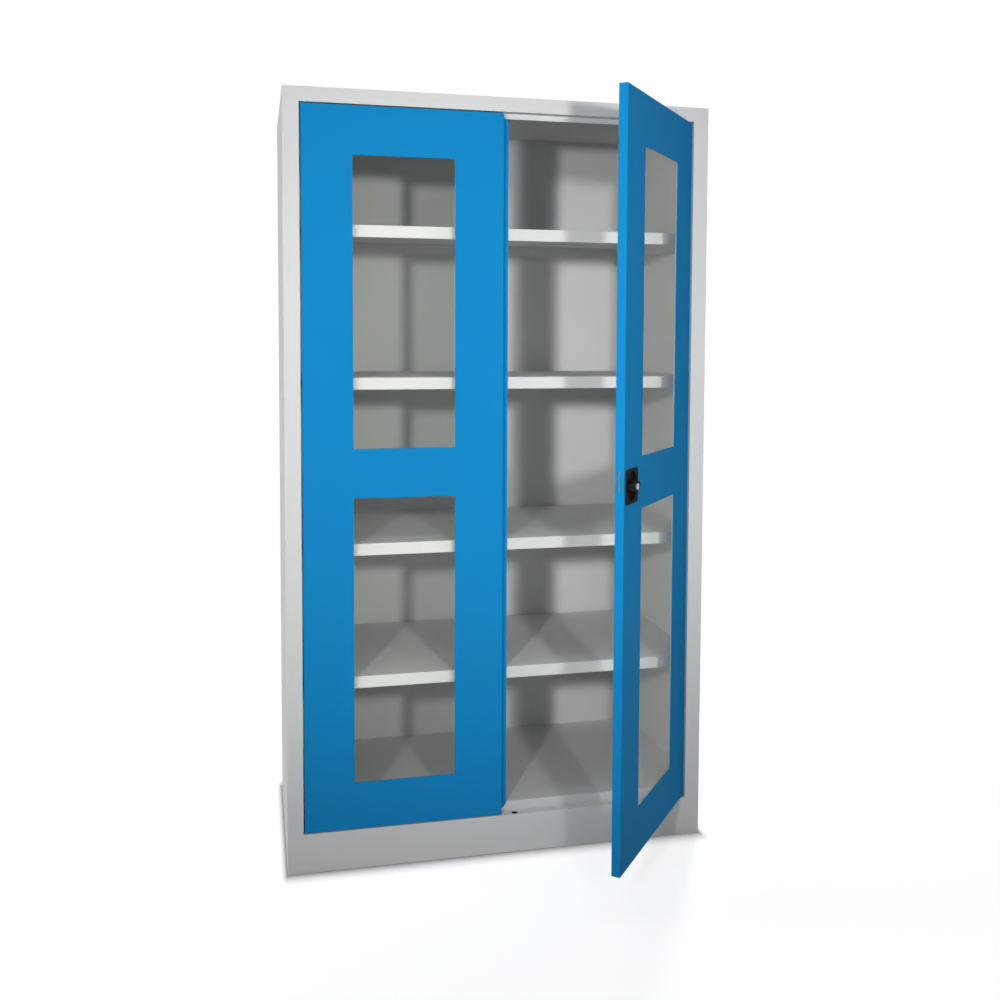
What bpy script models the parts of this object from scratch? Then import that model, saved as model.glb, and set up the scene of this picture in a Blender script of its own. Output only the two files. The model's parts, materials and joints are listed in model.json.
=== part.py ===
"""Two-door steel cabinet with glazed doors, four shelves and a rotary-grip lock.

Metres. +X is to the right of someone facing the doors, -Y points out of the front, +Z is up.
The origin lies on the ground, in the middle of the plinth's foot flange.
The left door is closed and the right door stands open.
"""
import math

import bmesh
import bpy
from mathutils import Matrix, Vector

# Overall size
HEIGHT = 1.950
WIDTH = 1.100
DEPTH = 0.550

# Sheet metal and clearances
SHEET = 0.001
FIT = 0.0003
DOOR_GAP = 0.003
TURN_CLEARANCE = 0.0004

# Carcass folds
STILE = 0.040
JAMB = 0.026
SLOT_FLANGE = 0.025
REAR_FLANGE = 0.020
TOP_FLANGE = 0.015
RAIL_FACE = 0.036
STOP_LIP = 0.013
PLINTH_FACE = 0.100
FOOT_FLANGE = 0.030
LEDGE = 0.050
FLOOR_RISE = 0.025
POST_FACE = 0.039
POST_STANDOFF = 0.010

# Shelves on a slot pitch above the floor
SLOT_PITCH = 0.020
SHELF_STEPS = (18, 35, 56, 75)
SHELF_LIP = 0.030
SHELF_SETBACK = 0.004
SHELF_END_GAP = 0.003
CLIP_WIDTH = 0.014
CLIP_SHEET = 0.0015
CLIP_TONGUE = 0.022
CLIP_RISE = 0.012
CLIP_LUG = 0.006
CLIP_EDGE = 0.026
SLOT_PLAY = 0.0005

# Doors
LEAF_DEPTH = 0.022
LEAF_LIP = 0.018
WINDOW_HINGE_MARGIN = 0.125
WINDOW_FREE_MARGIN = 0.1245
WINDOW_TOP_MARGIN = 0.120
WINDOW_MID_MARGIN = 0.124
WINDOW_BOTTOM_MARGIN = 0.120
PANE = 0.003
PANE_LAP = 0.012
FRAME_SETBACK = 0.004
FRAME_SEAT = 0.014
FRAME_LIP = 0.0015
STRIP_OVERHANG = 0.017
STRIP_SEAT = 0.025
STRIP_SHEET = 0.0015
STRIP_CLIP = 0.015
STRIP_END_GAP = 0.003
RIGHT_DOOR_OPEN = math.radians(51)

# Hinge pins and bushes
PIVOT_INSET = 0.010
PIVOT_DEPTH = 0.007
PIN_RADIUS = 0.003
PIN_REACH = 0.012
PIN_TAIL = 0.008
COLLAR_RADIUS = 0.0055
COLLAR = 0.0012
BUSH_WALL = 0.0014
BUSH_FLANGE = 0.0009
BUSH_LENGTH = 0.013

# Lock plate and grip, depths counted inwards from the door's outer face
LOCK_INSET = 0.048
PLATE_SIZE = 0.082
PLATE_THICK = 0.003
PLATE_CORNER = 0.009
DISH_RADIUS = 0.035
DISH_WALL = 0.002
DISH_DEPTH = 0.0065
DISH_FLOOR = 0.002
GRIP_LENGTH = 0.064
GRIP_WIDTH = 0.020
GRIP_PROUD = 0.013
GRIP_CORNER = 0.006
GRIP_FLOAT = 0.0007
BOSS_RADIUS = 0.0145
SPINDLE_RADIUS = 0.0035
PLUG_RADIUS = 0.0075
PLUG_LENGTH = 0.0185
PLUG_PROUD = 0.004
KEY_SLOT_WIDTH = 0.0016
KEY_SLOT_HEIGHT = 0.0076
KEY_SLOT_DEPTH = 0.006

# Lock works behind the dish
ROD_THICK = 0.003
ROD_WIDTH = 0.010
ROD_LAYER_GAP = 0.0008
ROD_GAP = 0.0004
ROD_END_SETBACK = 0.0015
ROD_HOLE_RADIUS = 0.008
LOWER_ROD_OFFSET = 0.0135
UPPER_ROD_OFFSET = 0.0140
CRANK_RADIUS = 0.014
CRANK_PIN_RADIUS = 0.0025
YOKE_PLAY = 0.0006
YOKE_HEIGHT = 0.0130
YOKE_WALL = 0.0023
CAM_RADIUS = 0.020
CAM_THICK = 0.002
TONGUE_REACH = 0.057
TONGUE_WIDTH = 0.012
SEGMENT_RADIUS = 0.0455
SEGMENT_UP = 0.027
SEGMENT_DOWN = 0.014
EDGE_SLOT_DOWN = 0.010
EDGE_SLOT_UP = 0.038
EDGE_SLOT_PLAY = 0.0008
CASE_SHEET = 0.0015
CASE_GAP = 0.0013
CASE_HALF_HEIGHT = 0.026
CASE_OVERLAP = 0.022
CASE_CLEARANCE = 0.005
CASE_FOOT = 0.016
SPINDLE_END = 0.0008
GUIDE_FROM_END = 0.120
GUIDE_HEIGHT = 0.012
GUIDE_WALL = 0.004

ROUND = 24
SMALL_ROUND = 16
CORNER_STEPS = 3

# Heights and places that follow from the sizes above
front = -FOOT_FLANGE / 2
back = front + DEPTH
half = WIDTH / 2
inside = half - SHEET - FIT
opening = half - STILE
stop = front + JAMB + FIT
post_face = back - 2 * (SHEET + FIT) - POST_STANDOFF
floor_top = PLINTH_FACE + FLOOR_RISE
soffit = HEIGHT - RAIL_FACE

leaf_width = opening - 1.5 * DOOR_GAP
leaf_bottom = PLINTH_FACE + DOOR_GAP
leaf_top = soffit - DOOR_GAP
window_height = (leaf_top - leaf_bottom - WINDOW_TOP_MARGIN - WINDOW_MID_MARGIN - WINDOW_BOTTOM_MARGIN) / 2
lower_window = leaf_bottom + WINDOW_BOTTOM_MARGIN
lock_height = lower_window + window_height + WINDOW_MID_MARGIN / 2
upper_window = lock_height + WINDOW_MID_MARGIN / 2
window_start = WINDOW_HINGE_MARGIN
window_end = leaf_width - WINDOW_FREE_MARGIN
pane_front = SHEET + FIT
pane_back = pane_front + PANE
rebate_back = pane_back + FIT
frame_back = rebate_back + FRAME_LIP
bush_radius = PIN_RADIUS + FIT + BUSH_WALL
pivot_x = opening - DOOR_GAP - PIVOT_INSET

dish_back = DISH_DEPTH + DISH_FLOOR
dish_outer = DISH_RADIUS + DISH_WALL
rod_front = dish_back + ROD_LAYER_GAP
rod_back = rod_front + ROD_THICK
cam_front = rod_back + ROD_GAP
cam_back = cam_front + CAM_THICK
case_front = cam_back + CASE_GAP
crank_side = CRANK_RADIUS * math.sin(math.pi / 4)
yoke_clear = CRANK_PIN_RADIUS + YOKE_PLAY

for old in list(bpy.data.objects):
    bpy.data.objects.remove(old, do_unlink=True)


def collection(name):
    group = bpy.data.collections.new(name)
    bpy.context.scene.collection.children.link(group)
    return group


parts = collection("glazed_two_door_cabinet")
cutters = collection("cutters")


def finish(name, color, roughness, metallic=0.0, transmission=0.0):
    material = bpy.data.materials.new(name)
    material.use_nodes = True
    shader = material.node_tree.nodes["Principled BSDF"]
    shader.inputs["Base Color"].default_value = (*color, 1.0)
    shader.inputs["Roughness"].default_value = roughness
    shader.inputs["Metallic"].default_value = metallic
    shader.inputs["Transmission Weight"].default_value = transmission
    material.diffuse_color = (*color, 1.0)
    return material


grey_paint = finish("light_grey_paint", (0.66, 0.68, 0.67), 0.45)
blue_paint = finish("sky_blue_paint", (0.012, 0.23, 0.55), 0.40)
clear_pane = finish("clear_acrylic", (0.95, 0.97, 0.97), 0.05, transmission=1.0)
zinc_steel = finish("zinc_plated_steel", (0.62, 0.63, 0.64), 0.35, metallic=1.0)
black_plastic = finish("black_plastic", (0.012, 0.012, 0.013), 0.42)
nickel = finish("nickel_plate", (0.70, 0.69, 0.66), 0.22, metallic=1.0)


def add(name, bm, material=None, parent=None):
    """Put a bmesh into the scene: a part if it has a material, otherwise a cutter."""
    mesh = bpy.data.meshes.new(name)
    bm.to_mesh(mesh)
    bm.free()
    piece = bpy.data.objects.new(name, mesh)
    piece.parent = parent
    if material is None:
        cutters.objects.link(piece)
        piece.hide_render = True
        piece.display_type = "WIRE"
    else:
        parts.objects.link(piece)
        mesh.materials.append(material)
    return piece


def cube(lo, hi):
    low = Vector([min(a, b) for a, b in zip(lo, hi)])
    high = Vector([max(a, b) for a, b in zip(lo, hi)])
    bm = bmesh.new()
    place = Matrix.Translation((low + high) / 2) @ Matrix.Diagonal((*(high - low), 1.0))
    bmesh.ops.create_cube(bm, size=1.0, matrix=place)
    return bm


def box(name, lo, hi, material=None, parent=None):
    return add(name, cube(lo, hi), material, parent)


def edges_along(bm, axis):
    return [edge for edge in bm.edges if abs((edge.verts[1].co - edge.verts[0].co).normalized()[axis]) > 0.99]


def rounded_box(name, lo, hi, radius, axis, material=None, parent=None, steps=CORNER_STEPS):
    bm = cube(lo, hi)
    bmesh.ops.bevel(bm, geom=edges_along(bm, axis), offset=radius, segments=steps,
                    profile=0.5, affect="EDGES")
    return add(name, bm, material, parent)


def round_bar(name, center, axis, start, end, radius, material=None, parent=None, segments=ROUND):
    """A cylinder through center (the two cross coordinates), from start to end along axis 1 (Y) or 2 (Z)."""
    bm = bmesh.new()
    turn = Matrix.Rotation(math.pi / 2, 4, "X") if axis == 1 else Matrix.Identity(4)
    middle = (start + end) / 2
    spot = Vector((center[0], middle, center[1])) if axis == 1 else Vector((center[0], center[1], middle))
    bmesh.ops.create_cone(bm, cap_ends=True, segments=segments, radius1=radius, radius2=radius,
                          depth=end - start, matrix=Matrix.Translation(spot) @ turn)
    piece = add(name, bm, material, parent)
    piece.data.shade_smooth()
    piece.data.set_sharp_from_angle(angle=math.radians(40))
    return piece


def thicken(piece, thickness, offset=-1.0):
    shell = piece.modifiers.new("sheet", "SOLIDIFY")
    shell.thickness = thickness
    shell.offset = offset
    shell.use_even_offset = True


def folded(name, path, axis, lo, hi, right_side, material, parent=None, sheet=SHEET, offset=-1.0):
    """Sheet folded along a path: (x, y) points run up Z, or (y, z) points run along X.

    The path is the sheet's outer face; its thickness lies to the right of the way the path runs,
    or to the left if right_side is false.
    """
    bm = bmesh.new()
    spot = (lambda a, b, c: (a, b, c)) if axis == 2 else (lambda a, b, c: (c, a, b))
    points = [bm.verts.new(spot(a, b, lo)) for a, b in path]
    edges = [bm.edges.new(pair) for pair in zip(points, points[1:])]
    swept = bmesh.ops.extrude_edge_only(bm, edges=edges)["geom"]
    far_points = [item for item in swept if isinstance(item, bmesh.types.BMVert)]
    bmesh.ops.translate(bm, vec=spot(0, 0, hi - lo), verts=far_points)
    bm.normal_update()
    (a0, b0), (a1, b1) = path[0], path[1]
    left = Vector(spot(b0 - b1, a1 - a0, 0))
    outward = left if right_side else -left
    bm.faces.ensure_lookup_table()
    first = min(bm.faces, key=lambda face: (face.calc_center_median() - Vector(
        spot((a0 + a1) / 2, (b0 + b1) / 2, (lo + hi) / 2))).length)
    if first.normal.dot(outward) < 0:
        bmesh.ops.reverse_faces(bm, faces=bm.faces[:])
    piece = add(name, bm, material, parent)
    thicken(piece, sheet, offset)
    return piece


def tray(name, lo, hi, open_way, material, parent=None, lip=0.0):
    """A box folded from sheet, open on the side that open_way points to, with a lip round the opening."""
    bm = cube(lo, hi)
    bm.normal_update()
    face = max(bm.faces, key=lambda side: side.normal.dot(Vector(open_way)))
    if lip > 0:
        bmesh.ops.inset_region(bm, faces=[face], thickness=lip, use_even_offset=True)
    bmesh.ops.delete(bm, geom=[face], context="FACES")
    piece = add(name, bm, material, parent)
    thicken(piece, SHEET)
    return piece


def turned(name, profile, spot, material, parent=None, closed=False, steps=ROUND):
    """A shape turned about Z from (radius, height) points that run down its outer side."""
    bm = bmesh.new()
    points = [bm.verts.new((radius, 0, height)) for radius, height in profile]
    for pair in zip(points, points[1:]):
        bm.edges.new(pair)
    if closed:
        bm.edges.new((points[-1], points[0]))
    piece = add(name, bm, material, parent)
    piece.location = spot
    lathe = piece.modifiers.new("turned", "SCREW")
    lathe.steps = steps
    lathe.render_steps = steps
    lathe.use_merge_vertices = True
    lathe.merge_threshold = 0.00001
    piece.data.shade_smooth()
    piece.data.set_sharp_from_angle(angle=math.radians(40))
    return piece


def boolean(piece, tool, operation):
    step = piece.modifiers.new(tool.name, "BOOLEAN")
    step.operation = operation
    step.solver = "EXACT"
    step.object = tool


def cut(piece, *tools):
    for tool in tools:
        boolean(piece, tool, "DIFFERENCE")


def join(piece, *tools):
    for tool in tools:
        boolean(piece, tool, "UNION")


# Carcass: two folded sides, back, top, rail, floor and plinth
side_panels = {}
rear_posts = {}
top_notch = HEIGHT - TOP_FLANGE - FIT
for side, hand in (("left", -1), ("right", 1)):
    side_path = [
        (hand * (half - REAR_FLANGE), back),
        (hand * half, back),
        (hand * half, front),
        (hand * opening, front),
        (hand * opening, front + JAMB),
        (hand * (opening + SLOT_FLANGE), front + JAMB),
    ]
    panel = folded(side + "_side_panel", side_path, 2, 0, HEIGHT, hand > 0, grey_paint)
    cut(panel, box(side + "_top_notch", (hand * (opening - SHEET), front + SHEET, top_notch),
                   (hand * (opening + SLOT_FLANGE + SHEET), front + JAMB + SHEET, HEIGHT + SHEET)))
    side_panels[hand] = panel
    post_path = [
        (hand * inside, back - 2 * (SHEET + FIT)),
        (hand * inside, post_face),
        (hand * (inside - POST_FACE), post_face),
    ]
    rear_posts[hand] = folded(side + "_rear_post", post_path, 2, floor_top + FIT, top_notch, hand > 0,
                              grey_paint)

box("back_panel", (-inside, back - 2 * SHEET - FIT, 0), (inside, back - SHEET - FIT, HEIGHT), grey_paint)
tray_back = back - 2 * (SHEET + FIT)
tray("top_panel", (-inside, front + SHEET + FIT, HEIGHT - TOP_FLANGE), (inside, tray_back, HEIGHT),
     (0, 0, -1), grey_paint)
tray("floor_panel", (-inside, stop, PLINTH_FACE + FIT), (inside, tray_back, floor_top),
     (0, 0, -1), grey_paint)

rail_half = opening - FIT
rail_path = [(front, HEIGHT), (front, soffit), (stop, soffit), (stop, soffit - STOP_LIP)]
top_rail = folded("top_rail", rail_path, 0, -rail_half, rail_half, False, grey_paint)
plinth_path = [
    (front + LEDGE, PLINTH_FACE),
    (front, PLINTH_FACE),
    (front, 0),
    (front + FOOT_FLANGE, 0),
]
plinth = folded("plinth", plinth_path, 0, -rail_half, rail_half, False, grey_paint)

# Shelves, each hung on four clips in the slotted flanges and posts
shelf_half = half - SHEET - SHELF_END_GAP
shelf_front = front + JAMB + SHELF_SETBACK
shelf_back = post_face - SHELF_SETBACK
slot_low = CLIP_RISE - CLIP_SHEET - 2 * FIT
slot_high = slot_low + CLIP_LUG + CLIP_SHEET + 2 * FIT
for number, steps in enumerate(SHELF_STEPS, start=1):
    shelf_top = floor_top + steps * SLOT_PITCH
    seat = shelf_top - SHELF_LIP - FIT
    tray(f"shelf_{number}", (-shelf_half, shelf_front, shelf_top - SHELF_LIP),
         (shelf_half, shelf_back, shelf_top), (0, 0, -1), grey_paint)
    for side, hand in (("left", -1), ("right", 1)):
        clip_x = hand * (half - CLIP_EDGE)
        for place, face, way, holder in (("front", front + JAMB, 1, side_panels[hand]),
                                         ("rear", post_face, -1, rear_posts[hand])):
            plate = FIT + CLIP_SHEET / 2
            lug = -SHEET - FIT - CLIP_SHEET / 2
            crest = seat + CLIP_RISE - CLIP_SHEET / 2
            clip_path = [
                (face + way * lug, crest + CLIP_SHEET / 2 - CLIP_LUG),
                (face + way * lug, crest),
                (face + way * plate, crest),
                (face + way * plate, seat - CLIP_SHEET / 2),
                (face + way * CLIP_TONGUE, seat - CLIP_SHEET / 2),
            ]
            clip_edges = (clip_x - CLIP_WIDTH / 2, clip_x + CLIP_WIDTH / 2)
            folded(f"clip_{number}_{side}_{place}", clip_path, 0, *clip_edges, way > 0, zinc_steel,
                   sheet=CLIP_SHEET, offset=0.0)
            cut(holder, box(f"slot_{number}_{side}_{place}",
                            (clip_edges[0] - SLOT_PLAY, face - 2 * way * SHEET, seat + slot_low),
                            (clip_edges[1] + SLOT_PLAY, face + way * SHEET, seat + slot_high)))

# Hinge pins in the ledge and the soffit
pin_hole = PIN_RADIUS + FIT
hinges = {}
for side, hand in (("left", -1), ("right", 1)):
    spot = (hand * pivot_x, front + PIVOT_DEPTH, 0)
    for place, base, way, holder in (("lower", PLINTH_FACE, 1, plinth), ("upper", soffit, -1, top_rail)):
        pin_profile = [
            (0, base + way * (DOOR_GAP + PIN_REACH)),
            (PIN_RADIUS, base + way * (DOOR_GAP + PIN_REACH)),
            (PIN_RADIUS, base + way * (FIT + COLLAR)),
            (COLLAR_RADIUS, base + way * (FIT + COLLAR)),
            (COLLAR_RADIUS, base + way * FIT),
            (PIN_RADIUS, base + way * FIT),
            (PIN_RADIUS, base - way * (SHEET + PIN_TAIL)),
            (0, base - way * (SHEET + PIN_TAIL)),
        ]
        turned(f"{side}_{place}_hinge_pin", pin_profile[::way], spot, zinc_steel)
        cut(holder, round_bar(f"{side}_{place}_pin_hole", spot[:2], 2, base - SHEET * 3, base + SHEET * 3,
                              pin_hole))
    hinge = bpy.data.objects.new(f"{side}_door_hinge_axis", None)
    parts.objects.link(hinge)
    hinge.location = spot
    hinges[side] = hinge
hinges["right"].rotation_euler = (0, 0, RIGHT_DOOR_OPEN)


def door(side, hand):
    """A glazed leaf, built closed about its hinge axis: hand is the way along X from hinge to free edge."""
    hinge = hinges[side]

    def at(along, depth, height):
        return (hand * (along - PIVOT_INSET), depth - PIVOT_DEPTH, height)

    leaf = tray(f"{side}_door_leaf", at(0, 0, leaf_bottom), at(leaf_width, LEAF_DEPTH, leaf_top), (0, 1, 0),
                blue_paint, hinge, LEAF_LIP)

    def window_box(name, low, reach, depth_from, depth_to, material=None):
        """A box that reaches past the four edges of the window whose sill is at low."""
        return box(name, at(window_start - reach, depth_from, low - reach),
                   at(window_end + reach, depth_to, low + window_height + reach), material, hinge)

    rebate = PANE_LAP + FIT
    for place, low in (("lower", lower_window), ("upper", upper_window)):
        name = f"{side}_{place}"
        cut(leaf, window_box(name + "_window", low, 0, -SHEET, 2 * SHEET))
        window_box(name + "_pane", low, PANE_LAP, pane_front, pane_back, clear_pane)
        frame = window_box(name + "_pane_frame", low, rebate + FRAME_SEAT, pane_front, frame_back, grey_paint)
        cut(frame, window_box(name + "_pane_rebate", low, rebate, 0, rebate_back),
            window_box(name + "_frame_hollow", low, FRAME_SETBACK, 0, frame_back + SHEET))
    for place, edge, way in (("lower", leaf_bottom, 1), ("upper", leaf_top, -1)):
        flange_top = edge - way * FIT
        bore = PIN_RADIUS + FIT
        bush_profile = [
            (bore, edge + way * BUSH_LENGTH),
            (bush_radius, edge + way * BUSH_LENGTH),
            (bush_radius, flange_top),
            (COLLAR_RADIUS, flange_top),
            (COLLAR_RADIUS, flange_top - way * BUSH_FLANGE),
            (bore, flange_top - way * BUSH_FLANGE),
        ]
        turned(f"{side}_{place}_hinge_bush", bush_profile[::way], (0, 0, 0), black_plastic, hinge,
               closed=True)
        cut(leaf, round_bar(f"{side}_{place}_bush_hole", (0, 0), 2, edge - 3 * SHEET, edge + 3 * SHEET,
                            bush_radius + FIT, parent=hinge))
    return leaf, at


left_leaf, left_at = door("left", 1)
right_leaf, right_at = door("right", -1)

# Closing strip on the left leaf's free edge, behind the right leaf
strip_front = LEAF_DEPTH + FIT
bm = cube(left_at(leaf_width - STRIP_SEAT, strip_front, leaf_bottom + STRIP_END_GAP),
          left_at(leaf_width + STRIP_OVERHANG, strip_front + STRIP_SHEET, leaf_top - STRIP_END_GAP))
free_corners = [edge for edge in edges_along(bm, 1) if edge.verts[0].co.x > leaf_width - PIVOT_INSET]
bmesh.ops.bevel(bm, geom=free_corners, offset=STRIP_CLIP, segments=1, affect="EDGES")
add("left_closing_strip", bm, blue_paint, hinges["left"])

# Slots for the lock's tongue in both free edges
slot_front = cam_front - EDGE_SLOT_PLAY
slot_back = cam_back + EDGE_SLOT_PLAY
for side, leaf, at in (("left", left_leaf, left_at), ("right", right_leaf, right_at)):
    cut(leaf, box(side + "_tongue_slot", at(leaf_width - 2 * SHEET, slot_front, lock_height - EDGE_SLOT_DOWN),
                  at(leaf_width + SHEET, slot_back, lock_height + EDGE_SLOT_UP), parent=hinges[side]))

# Lock on the right leaf: its own axis empty, +X towards the hinge, +Y into the door, +Z up
lock = bpy.data.objects.new("lock_axis", None)
parts.objects.link(lock)
lock.parent = hinges["right"]
lock.location = (-(leaf_width - LOCK_INSET - PIVOT_INSET), -PIVOT_DEPTH, lock_height)
center = (0, 0)

cut(right_leaf, round_bar("dish_hole", center, 1, -SHEET, 3 * SHEET, dish_outer + FIT, parent=lock,
                          segments=2 * ROUND))
plate_half = PLATE_SIZE / 2
plate = rounded_box("lock_plate", (-plate_half, -FIT - PLATE_THICK, -plate_half),
                    (plate_half, -FIT, plate_half), PLATE_CORNER, 1, black_plastic, lock)
join(plate, round_bar("dish_body", center, 1, -FIT - PLATE_THICK / 2, dish_back, dish_outer, parent=lock,
                      segments=2 * ROUND))
cut(plate, round_bar("dish_hollow", center, 1, -2 * PLATE_THICK, DISH_DEPTH, DISH_RADIUS, parent=lock,
                     segments=2 * ROUND),
    round_bar("spindle_bore", center, 1, DISH_DEPTH - SHEET, dish_back + SHEET,
              SPINDLE_RADIUS + TURN_CLEARANCE, parent=lock))

grip_back = DISH_DEPTH - GRIP_FLOAT
grip = rounded_box("lock_handle", (-GRIP_LENGTH / 2, -GRIP_PROUD, -GRIP_WIDTH / 2),
                   (GRIP_LENGTH / 2, grip_back, GRIP_WIDTH / 2), GRIP_CORNER, 1, black_plastic, lock)
spindle_tip = case_front + CASE_SHEET + SPINDLE_END
join(grip, round_bar("grip_boss", center, 1, -GRIP_PROUD + SHEET, grip_back - SHEET / 2, BOSS_RADIUS,
                     parent=lock),
     round_bar("spindle", center, 1, grip_back - SHEET, spindle_tip, SPINDLE_RADIUS, parent=lock))
plug_front = -GRIP_PROUD - PLUG_PROUD
plug_back = plug_front + PLUG_LENGTH
cut(grip, round_bar("plug_bore", center, 1, -2 * GRIP_PROUD, plug_back + FIT, PLUG_RADIUS + TURN_CLEARANCE,
                    parent=lock))
plug = round_bar("lock_plug", center, 1, plug_front, plug_back, PLUG_RADIUS, nickel, lock)
cut(plug, box("key_slot", (-KEY_SLOT_WIDTH / 2, plug_front - SHEET, -KEY_SLOT_HEIGHT / 2),
              (KEY_SLOT_WIDTH / 2, plug_front + KEY_SLOT_DEPTH, KEY_SLOT_HEIGHT / 2), parent=lock))

# Cam with its tongue pointing up, a segment behind the free edge's slot and two crank pins, the hinge-side
# one low and the other high
cam = round_bar("lock_cam", center, 1, cam_front, cam_back, CAM_RADIUS, zinc_steel, lock)
join(cam, box("tongue", (-TONGUE_WIDTH / 2, cam_front, 0), (TONGUE_WIDTH / 2, cam_back, TONGUE_REACH),
              parent=lock))
segment = box("cam_segment", (-SEGMENT_RADIUS, cam_front, -SEGMENT_DOWN), (0, cam_back, SEGMENT_UP),
              parent=lock)
boolean(segment, round_bar("segment_rim", center, 1, cam_front - SHEET, cam_back + SHEET, SEGMENT_RADIUS,
                           parent=lock, segments=2 * ROUND), "INTERSECT")
join(cam, segment)
for name, spot in (("upper_crank_pin", (crank_side, -crank_side)),
                   ("lower_crank_pin", (-crank_side, crank_side))):
    join(cam, round_bar(name, spot, 1, rod_front, cam_back - CAM_THICK / 2, CRANK_PIN_RADIUS, parent=lock,
                        segments=SMALL_ROUND))
cut(cam, round_bar("cam_bore", center, 1, rod_front, cam_back + SHEET, SPINDLE_RADIUS + FIT, parent=lock))

# Locking rods: flat bars with a yoke round their crank pin, led through guides and the leaf's ends
for place, way, offset, leaf_end, holder, hole_level in (
        ("upper", 1, UPPER_ROD_OFFSET, leaf_top, top_rail, soffit),
        ("lower", -1, LOWER_ROD_OFFSET, leaf_bottom, plinth, PLINTH_FACE)):
    rod_x = way * offset
    end = leaf_end - way * ROD_END_SETBACK - lock_height
    yoke_z = -way * crank_side
    rod_edges = (rod_x - ROD_WIDTH / 2, rod_x + ROD_WIDTH / 2)
    near = way * (crank_side - yoke_clear)
    far = way * (CRANK_RADIUS + yoke_clear)
    outer = way * max(CRANK_RADIUS + yoke_clear + YOKE_WALL, offset + ROD_WIDTH / 2)
    rod = box(f"{place}_lock_rod", (rod_edges[0], rod_front, yoke_z), (rod_edges[1], rod_back, end),
              zinc_steel, lock)
    join(rod, box(f"{place}_yoke", (near - way * YOKE_WALL, rod_front, yoke_z - YOKE_HEIGHT / 2),
                  (outer, rod_back, yoke_z + YOKE_HEIGHT / 2), parent=lock))
    cut(rod, box(f"{place}_yoke_slot", (near, rod_front - SHEET, yoke_z - yoke_clear),
                 (far, rod_back + SHEET, yoke_z + yoke_clear), parent=lock))
    rod_middle = (rod_front + rod_back) / 2
    cut(right_leaf, round_bar(f"{place}_rod_hole", (rod_x, rod_middle), 2, leaf_end - lock_height - 3 * SHEET,
                              leaf_end - lock_height + 3 * SHEET, ROD_HOLE_RADIUS, parent=lock))
    closed_x = LOCK_INSET + DOOR_GAP / 2 + rod_x
    cut(holder, round_bar(f"{place}_keeper_hole", (closed_x, front + rod_middle), 2, hole_level - 3 * SHEET,
                          hole_level + 3 * SHEET, ROD_HOLE_RADIUS))
    guide_z = leaf_end - way * GUIDE_FROM_END - lock_height
    guide = box(f"{place}_rod_guide", (rod_edges[0] - GUIDE_WALL, SHEET + FIT, guide_z - GUIDE_HEIGHT / 2),
                (rod_edges[1] + GUIDE_WALL, rod_back + GUIDE_WALL, guide_z + GUIDE_HEIGHT / 2),
                black_plastic, lock)
    cut(guide, box(f"{place}_guide_slot",
                   (rod_edges[0] - ROD_GAP, rod_front - ROD_GAP, guide_z - GUIDE_HEIGHT),
                   (rod_edges[1] + ROD_GAP, rod_back + ROD_GAP, guide_z + GUIDE_HEIGHT), parent=lock))

# Case bracket over the cam, footed on the leaf beside the dish
case_leg = dish_outer + CASE_CLEARANCE
case_path = [
    (case_leg + CASE_FOOT, SHEET + FIT),
    (case_leg, SHEET + FIT),
    (case_leg, case_front),
    (-CASE_OVERLAP, case_front),
]
case = folded("lock_case", case_path, 2, -CASE_HALF_HEIGHT, CASE_HALF_HEIGHT, True, zinc_steel, lock,
              sheet=CASE_SHEET)
cut(case, round_bar("case_bore", center, 1, case_front - SHEET, case_front + 3 * SHEET,
                    SPINDLE_RADIUS + TURN_CLEARANCE, parent=lock))
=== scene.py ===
# %% [markdown]
# The object is a tall two-door steel cabinet: a light grey body with four shelves, and sky blue
# doors with two clear windows each. The left door is shut and the right one stands open. The
# solids of every piece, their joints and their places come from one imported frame, in metres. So
# this lesson never moves or resizes the cabinet. It rounds folds, dresses surfaces and adds the
# small hardware.

# %% Load the frame
import json
import math

import bmesh
import bpy
from mathutils import Matrix, Vector

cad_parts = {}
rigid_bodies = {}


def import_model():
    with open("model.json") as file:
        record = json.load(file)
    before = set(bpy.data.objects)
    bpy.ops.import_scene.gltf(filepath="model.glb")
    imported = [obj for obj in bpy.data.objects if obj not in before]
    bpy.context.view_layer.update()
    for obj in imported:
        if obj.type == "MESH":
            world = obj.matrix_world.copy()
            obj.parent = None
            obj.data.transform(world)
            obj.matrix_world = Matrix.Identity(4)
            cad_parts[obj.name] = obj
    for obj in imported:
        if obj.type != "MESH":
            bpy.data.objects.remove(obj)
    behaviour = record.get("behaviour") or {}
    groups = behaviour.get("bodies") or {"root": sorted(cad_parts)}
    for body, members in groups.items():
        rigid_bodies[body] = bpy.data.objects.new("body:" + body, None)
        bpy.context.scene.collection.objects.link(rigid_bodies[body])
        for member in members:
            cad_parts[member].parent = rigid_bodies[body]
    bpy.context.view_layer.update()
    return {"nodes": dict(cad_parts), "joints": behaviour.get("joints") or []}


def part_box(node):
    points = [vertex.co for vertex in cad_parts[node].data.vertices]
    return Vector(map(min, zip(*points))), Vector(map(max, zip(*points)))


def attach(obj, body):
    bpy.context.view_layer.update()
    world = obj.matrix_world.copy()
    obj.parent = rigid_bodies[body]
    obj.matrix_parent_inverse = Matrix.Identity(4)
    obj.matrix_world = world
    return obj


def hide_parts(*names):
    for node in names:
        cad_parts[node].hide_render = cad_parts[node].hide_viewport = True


for old in list(bpy.data.objects):
    bpy.data.objects.remove(old, do_unlink=True)
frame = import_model()
nodes = frame["nodes"]
MM = 0.001

# %% [markdown]
# The view is from left of the middle, with the lens higher than the lock, and turned to the right.
# A camera could be aimed with a Track To constraint, but that can't hold a slight roll.
# So its three axes are worked out from yaw, pitch and roll and set as one matrix. The vertical
# shift is the lens moved down on its mount, which keeps the cabinet's uprights nearly upright.

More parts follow.
